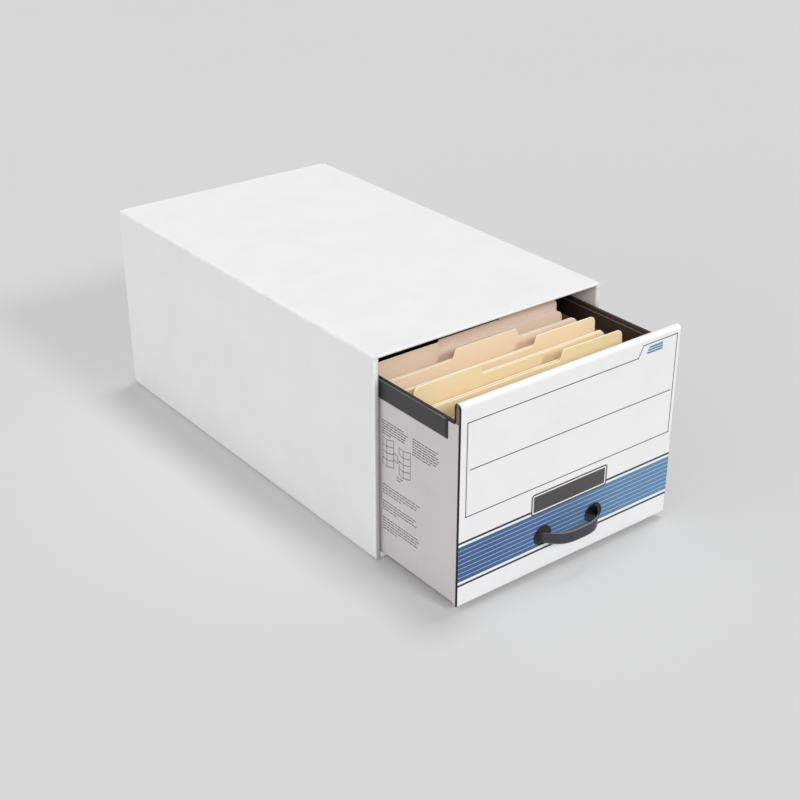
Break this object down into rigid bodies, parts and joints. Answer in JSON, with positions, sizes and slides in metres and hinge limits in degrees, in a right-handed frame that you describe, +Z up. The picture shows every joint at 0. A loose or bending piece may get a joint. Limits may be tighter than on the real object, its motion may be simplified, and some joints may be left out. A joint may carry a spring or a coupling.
{
  "type": "file storage drawer box",
  "caption": "Corrugated board file drawer: a pull-out drawer with steel side rails and a strap pull, holding tabbed folders, in an open-front sleeve.",
  "frame": {"origin": "middle of the sleeve's underside, on the surface it stands on", "axes": "+Z up, +Y towards the closed back, the drawer opens towards -Y, +X to the right of a person facing the drawer"},
  "size_m": [0.381, 0.8274, 0.292],
  "materials": {
    "sleeve_board": "white-faced corrugated board, matt",
    "drawer_board": "white-faced corrugated board, matt, printed front",
    "rail_steel": "black semi-gloss paint",
    "pull_plastic": "dark moulded plastic, satin",
    "manila_card": "manila card, matt"
  },
  "bodies": {
    "sleeve": {"sleeve": "sleeve_board"},
    "drawer": {"drawer_body": "drawer_board", "left_rail": "rail_steel", "right_rail": "rail_steel", "pull_strap": "pull_plastic", "file_folder_1": "manila_card", "file_folder_2": "manila_card", "file_folder_3": "manila_card", "file_folder_4": "manila_card", "file_folder_5": "manila_card", "file_folder_6": "manila_card", "file_folder_7": "manila_card"}
  },
  "joints": [
    {"name": "drawer_slide", "type": "slide", "parent": "sleeve", "child": "drawer", "axis": [0, -1, 0], "range_m": [-0.152, 0.3]}
  ]
}
